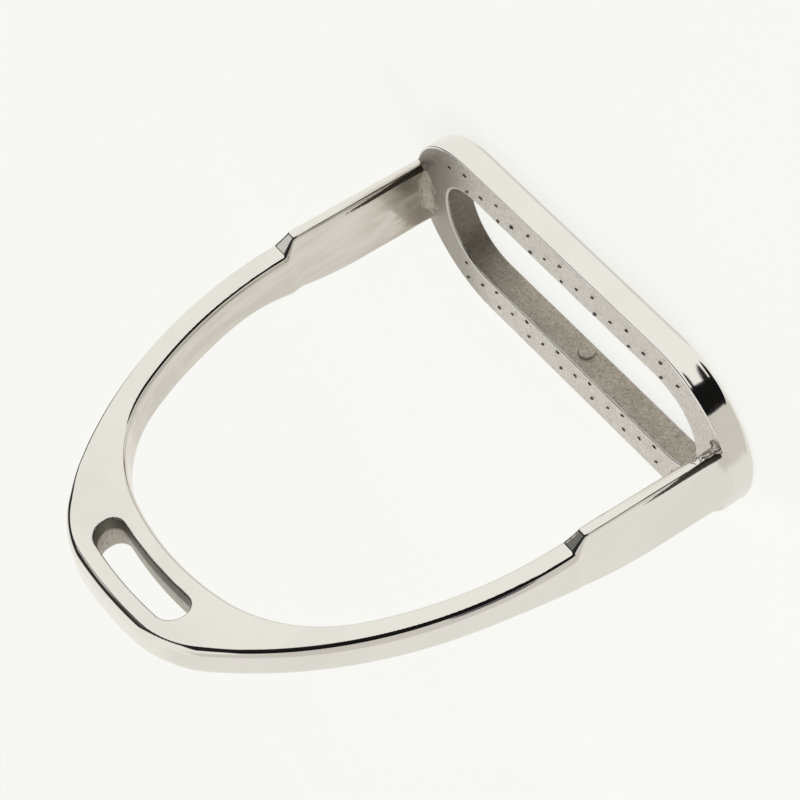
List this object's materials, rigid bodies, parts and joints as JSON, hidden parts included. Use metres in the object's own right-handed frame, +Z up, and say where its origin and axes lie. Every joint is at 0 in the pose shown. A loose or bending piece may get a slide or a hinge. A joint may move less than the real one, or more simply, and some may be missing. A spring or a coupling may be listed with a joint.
{
  "type": "stirrup iron",
  "caption": "Polished steel stirrup iron with an arched bow, a slotted eye for the leather and an oblong open tread with raised grip pips.",
  "frame": {"origin": "middle of the tread's underside", "axes": "+Z up from the tread to the eye, X along the tread, +Y from the front face to the back"},
  "size_m": [0.1238, 0.0508, 0.1365],
  "materials": {
    "polished_steel": "mirror polished steel with fine handling scratches",
    "cast_steel": "matte cast top face, polished outer wall",
    "weld_metal": "rough unpolished bead",
    "pip_steel": "satin, worn at the tips"
  },
  "bodies": {
    "root": {"bow": "polished_steel", "tread": "cast_steel", "weld_left": "weld_metal", "weld_right": "weld_metal", "grip_pips_front": "pip_steel", "grip_pips_rear": "pip_steel"}
  },
  "joints": []
}
